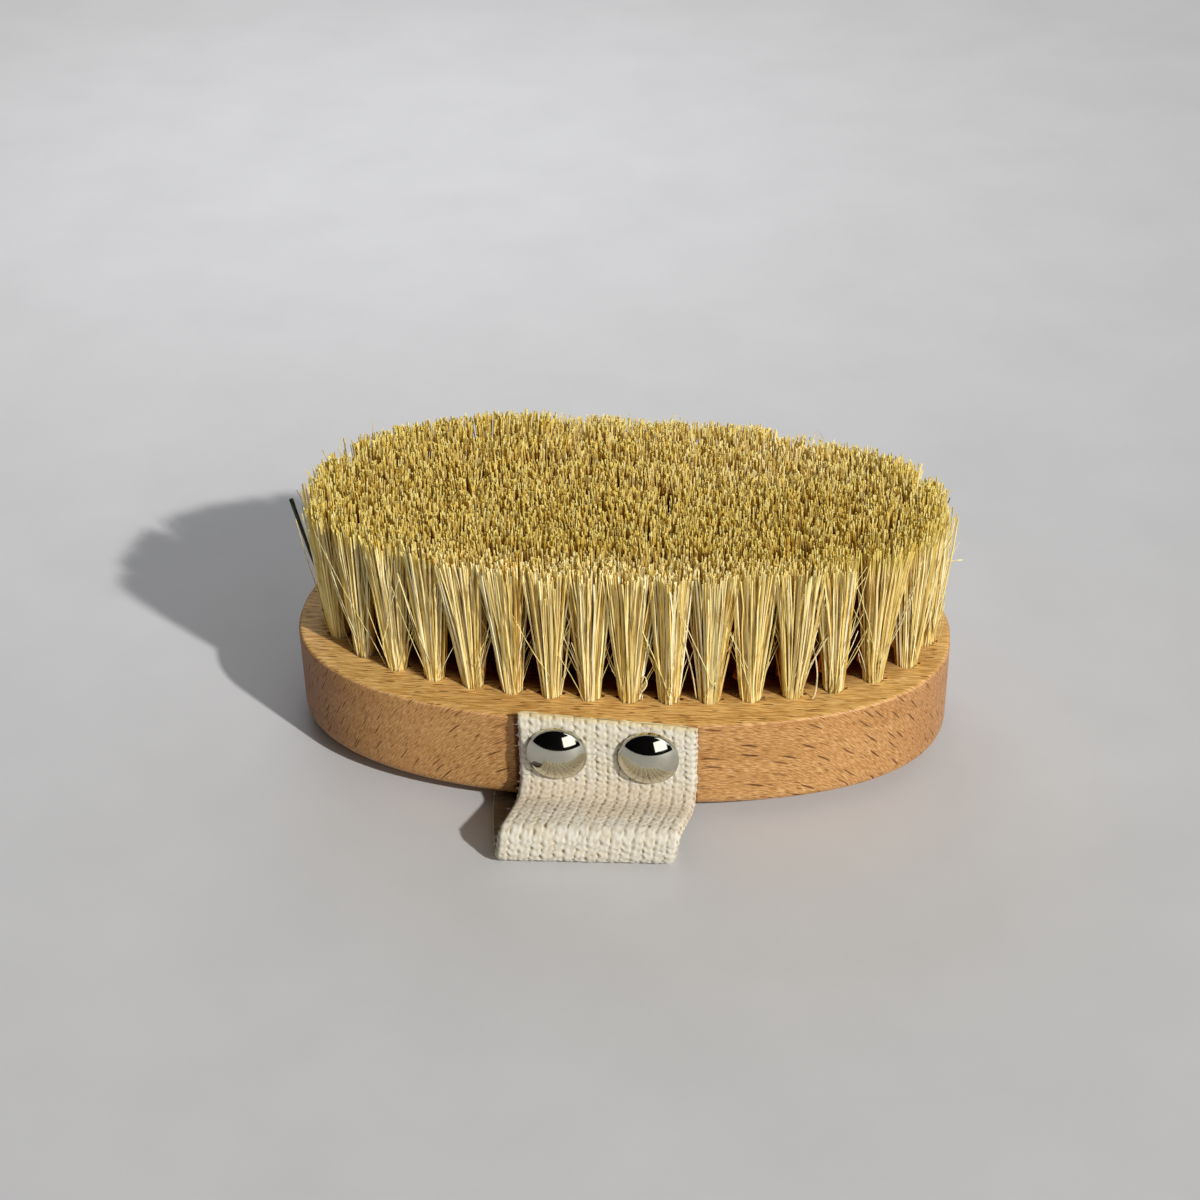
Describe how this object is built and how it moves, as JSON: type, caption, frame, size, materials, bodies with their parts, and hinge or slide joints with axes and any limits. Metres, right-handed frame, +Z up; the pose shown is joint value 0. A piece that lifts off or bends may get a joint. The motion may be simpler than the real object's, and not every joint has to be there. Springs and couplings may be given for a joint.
{
  "type": "body brush",
  "caption": "Oval wooden body brush with pale plant-fibre bristles and a cotton webbing hand strap held to its sides by dome nails.",
  "frame": {"origin": "on the table under the brush's middle, on the flat underside of the webbing that the brush lies on", "axes": "+X along the brush, -Y towards the side where the slack of the strap bulges out, +Z up along the bristles"},
  "size_m": [0.125, 0.0898, 0.0503],
  "materials": {
    "beech": "bare sanded beech, satin",
    "webbing": "undyed woven cotton",
    "chrome": "polished",
    "steel": "plain drawn steel",
    "fibre": "dry pale plant fibre, trimmed level"
  },
  "bodies": {
    "root": {"wood_body": "beech", "hand_strap": "webbing", "dome_cap_near_left": "chrome", "dome_cap_near_right": "chrome", "dome_cap_far_left": "chrome", "dome_cap_far_right": "chrome", "tack_near_left": "steel", "tack_near_right": "steel", "tack_far_left": "steel", "tack_far_right": "steel", "tuft_ring_1": "fibre", "tuft_ring_2": "fibre", "tuft_ring_3": "fibre", "tuft_middle_row": "fibre"}
  },
  "joints": []
}
